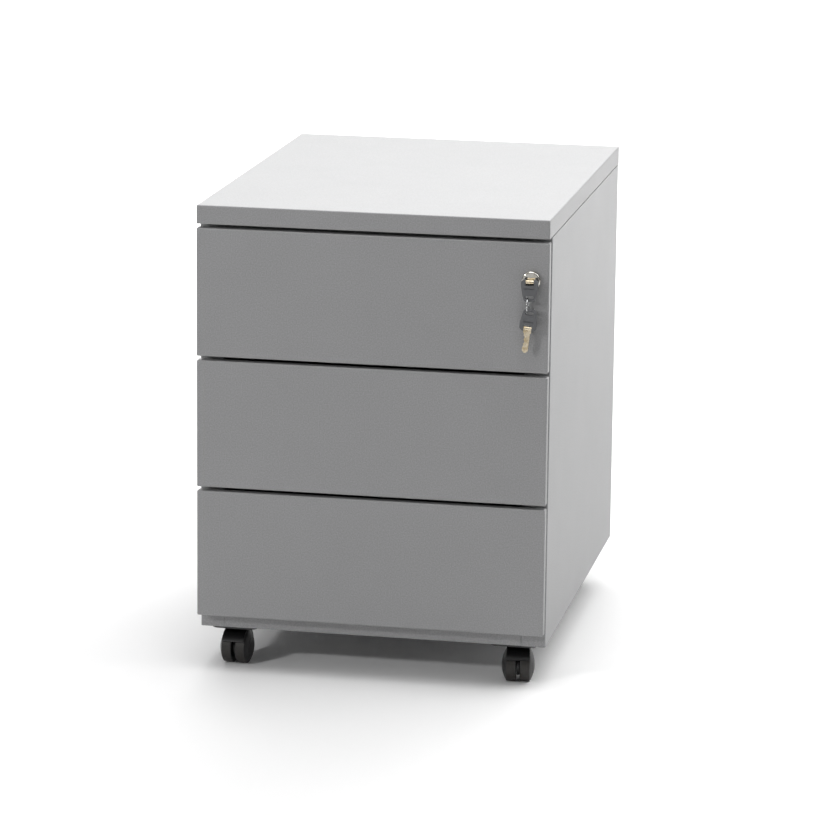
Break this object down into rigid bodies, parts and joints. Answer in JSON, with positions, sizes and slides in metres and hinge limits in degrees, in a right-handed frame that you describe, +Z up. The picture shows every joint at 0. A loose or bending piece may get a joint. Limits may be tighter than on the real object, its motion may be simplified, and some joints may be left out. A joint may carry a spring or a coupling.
{
  "type": "rolling pedestal cabinet",
  "caption": "Steel office pedestal with a stack of drawers on full-extension slides, a key lock that works a locking bar, and swivel twin-wheel casters.",
  "frame": {"origin": "on the floor, at the middle of the footprint, the keys in front included", "axes": "+X to the right of someone facing the drawers, +Y into the depth towards the back, +Z up"},
  "size_m": [0.42, 0.579, 0.5681],
  "materials": {
    "grey_powder_coat": "fine silver-grey powder coat",
    "zinc_steel": "zinc-plated sheet",
    "nickel": "polished nickel plate",
    "key_brass": "rolled nickel-brass, lightly worn",
    "bow_plastic": "moulded dark grey plastic",
    "black_plastic": "moulded black nylon",
    "black_steel": "black paint"
  },
  "bodies": {
    "carcass": {"top_cover": "grey_powder_coat", "cover_screws": "zinc_steel", "side_panel_left": "grey_powder_coat", "side_panel_right": "grey_powder_coat", "back_panel": "grey_powder_coat", "bottom_tray": "grey_powder_coat", "front_top_rail": "grey_powder_coat", "rear_top_rail": "grey_powder_coat", "rear_uprights": "grey_powder_coat", "fixed_slides_left": "zinc_steel", "fixed_slides_right": "zinc_steel", "lock_bar_guides": "black_plastic", "caster_plates": "black_steel", "caster_stems": "zinc_steel"},
    "lock_bar": {"lock_bar": "zinc_steel"},
    "drawer_1": {"drawer_1_front": "grey_powder_coat", "drawer_1_box": "grey_powder_coat", "drawer_1_catch": "zinc_steel", "drawer_1_inner_slides": "zinc_steel", "lock_body": "nickel", "lock_nut": "nickel"},
    "drawer_1_slides": {"drawer_1_middle_slides": "zinc_steel"},
    "drawer_2": {"drawer_2_front": "grey_powder_coat", "drawer_2_box": "grey_powder_coat", "drawer_2_catch": "zinc_steel", "drawer_2_inner_slides": "zinc_steel"},
    "drawer_2_slides": {"drawer_2_middle_slides": "zinc_steel"},
    "drawer_3": {"drawer_3_front": "grey_powder_coat", "drawer_3_box": "grey_powder_coat", "drawer_3_catch": "zinc_steel", "drawer_3_inner_slides": "zinc_steel"},
    "drawer_3_slides": {"drawer_3_middle_slides": "zinc_steel"},
    "lock_core": {"lock_plug": "key_brass", "lock_cam": "zinc_steel", "key_blade": "key_brass"},
    "key_bow": {"key_bow": "bow_plastic", "key_hinge_pin": "zinc_steel"},
    "key_ring": {"key_ring": "nickel"},
    "spare_key": {"spare_key_bow": "bow_plastic", "spare_key_hinge_pin": "zinc_steel"},
    "spare_blade": {"spare_key_blade": "key_brass"},
    "front_left_caster": {"front_left_caster_hood": "black_plastic", "front_left_caster_axle": "zinc_steel"},
    "front_left_wheel_left": {"front_left_caster_wheel_left": "black_plastic"},
    "front_left_wheel_right": {"front_left_caster_wheel_right": "black_plastic"},
    "front_right_caster": {"front_right_caster_hood": "black_plastic", "front_right_caster_axle": "zinc_steel"},
    "front_right_wheel_left": {"front_right_caster_wheel_left": "black_plastic"},
    "front_right_wheel_right": {"front_right_caster_wheel_right": "black_plastic"},
    "rear_left_caster": {"rear_left_caster_hood": "black_plastic", "rear_left_caster_axle": "zinc_steel"},
    "rear_left_wheel_left": {"rear_left_caster_wheel_left": "black_plastic"},
    "rear_left_wheel_right": {"rear_left_caster_wheel_right": "black_plastic"},
    "rear_right_caster": {"rear_right_caster_hood": "black_plastic", "rear_right_caster_axle": "zinc_steel"},
    "rear_right_wheel_left": {"rear_right_caster_wheel_left": "black_plastic"},
    "rear_right_wheel_right": {"rear_right_caster_wheel_right": "black_plastic"}
  },
  "joints": [
    {"name": "drawer_1_slide", "type": "slide", "parent": "carcass", "child": "drawer_1", "axis": [0, -1, 0], "range_m": [0, 0.45]},
    {"name": "drawer_1_middle_slide", "type": "slide", "parent": "carcass", "child": "drawer_1_slides", "axis": [0, -1, 0], "range_m": [0, 0.225]},
    {"name": "drawer_2_slide", "type": "slide", "parent": "carcass", "child": "drawer_2", "axis": [0, -1, 0], "range_m": [0, 0.45]},
    {"name": "drawer_2_middle_slide", "type": "slide", "parent": "carcass", "child": "drawer_2_slides", "axis": [0, -1, 0], "range_m": [0, 0.225]},
    {"name": "drawer_3_slide", "type": "slide", "parent": "carcass", "child": "drawer_3", "axis": [0, -1, 0], "range_m": [0, 0.45]},
    {"name": "drawer_3_middle_slide", "type": "slide", "parent": "carcass", "child": "drawer_3_slides", "axis": [0, -1, 0], "range_m": [0, 0.225]},
    {"name": "key_turn", "type": "hinge", "parent": "drawer_1", "child": "lock_core", "pos_m": [0.1893, -0.26853, 0.4974], "axis": [0, 1, 0], "range_deg": [0, 90]},
    {"name": "lock_bar_slide", "type": "slide", "parent": "carcass", "child": "lock_bar", "axis": [0, 0, -1], "range_m": [0, 0.00849]},
    {"name": "key_fold", "type": "hinge", "parent": "lock_core", "child": "key_bow", "pos_m": [0.1893, -0.28053, 0.4974], "axis": [-1, 0, 0], "range_deg": [0, 90]},
    {"name": "ring_swing", "type": "hinge", "parent": "key_bow", "child": "key_ring", "pos_m": [0.1873, -0.28053, 0.4784], "axis": [0, 1, 0], "range_deg": [-45, 45]},
    {"name": "spare_key_swing", "type": "hinge", "parent": "key_ring", "child": "spare_key", "pos_m": [0.1873, -0.28053, 0.4619], "axis": [0, 1, 0], "range_deg": [-45, 45]},
    {"name": "spare_key_fold", "type": "hinge", "parent": "spare_key", "child": "spare_blade", "pos_m": [0.18763, -0.28053, 0.44274], "axis": [-0.9936, 0, 0.1132], "range_deg": [0, 90]},
    {"name": "front_left_swivel", "type": "hinge", "parent": "carcass", "child": "front_left_caster", "pos_m": [-0.1705, -0.20053, 0.032], "axis": [0, 0, 1], "continuous": true},
    {"name": "front_left_wheel_left_spin", "type": "hinge", "parent": "front_left_caster", "child": "front_left_wheel_left", "pos_m": [-0.17186, -0.21998, 0.02], "axis": [0.9976, -0.0698, 0], "continuous": true},
    {"name": "front_left_wheel_right_spin", "type": "hinge", "parent": "front_left_caster", "child": "front_left_wheel_right", "pos_m": [-0.17186, -0.21998, 0.02], "axis": [0.9976, -0.0698, 0], "continuous": true},
    {"name": "front_right_swivel", "type": "hinge", "parent": "carcass", "child": "front_right_caster", "pos_m": [0.1705, -0.20053, 0.032], "axis": [0, 0, 1], "continuous": true},
    {"name": "front_right_wheel_left_spin", "type": "hinge", "parent": "front_right_caster", "child": "front_right_wheel_left", "pos_m": [0.17321, -0.21984, 0.02], "axis": [0.9903, 0.1392, 0], "continuous": true},
    {"name": "front_right_wheel_right_spin", "type": "hinge", "parent": "front_right_caster", "child": "front_right_wheel_right", "pos_m": [0.17321, -0.21984, 0.02], "axis": [0.9903, 0.1392, 0], "continuous": true},
    {"name": "rear_left_swivel", "type": "hinge", "parent": "carcass", "child": "rear_left_caster", "pos_m": [-0.1705, 0.23647, 0.032], "axis": [0, 0, 1], "continuous": true},
    {"name": "rear_left_wheel_left_spin", "type": "hinge", "parent": "rear_left_caster", "child": "rear_left_wheel_left", "pos_m": [-0.16948, 0.217, 0.02], "axis": [0.9986, 0.0523, 0], "continuous": true},
    {"name": "rear_left_wheel_right_spin", "type": "hinge", "parent": "rear_left_caster", "child": "rear_left_wheel_right", "pos_m": [-0.16948, 0.217, 0.02], "axis": [0.9986, 0.0523, 0], "continuous": true},
    {"name": "rear_right_swivel", "type": "hinge", "parent": "carcass", "child": "rear_right_caster", "pos_m": [0.1705, 0.23647, 0.032], "axis": [0, 0, 1], "continuous": true},
    {"name": "rear_right_wheel_left_spin", "type": "hinge", "parent": "rear_right_caster", "child": "rear_right_wheel_left", "pos_m": [0.16846, 0.21708, 0.02], "axis": [0.9945, -0.1045, 0], "continuous": true},
    {"name": "rear_right_wheel_right_spin", "type": "hinge", "parent": "rear_right_caster", "child": "rear_right_wheel_right", "pos_m": [0.16846, 0.21708, 0.02], "axis": [0.9945, -0.1045, 0], "continuous": true}
  ],
  "couplings": [
    {"joint": "drawer_1_middle_slide", "follows": "drawer_1_slide", "ratio": 0.5},
    {"joint": "drawer_2_middle_slide", "follows": "drawer_2_slide", "ratio": 0.5},
    {"joint": "drawer_3_middle_slide", "follows": "drawer_3_slide", "ratio": 0.5},
    {"joint": "key_turn", "follows": "lock_bar_slide", "rad_per_m": 185.12}
  ]
}
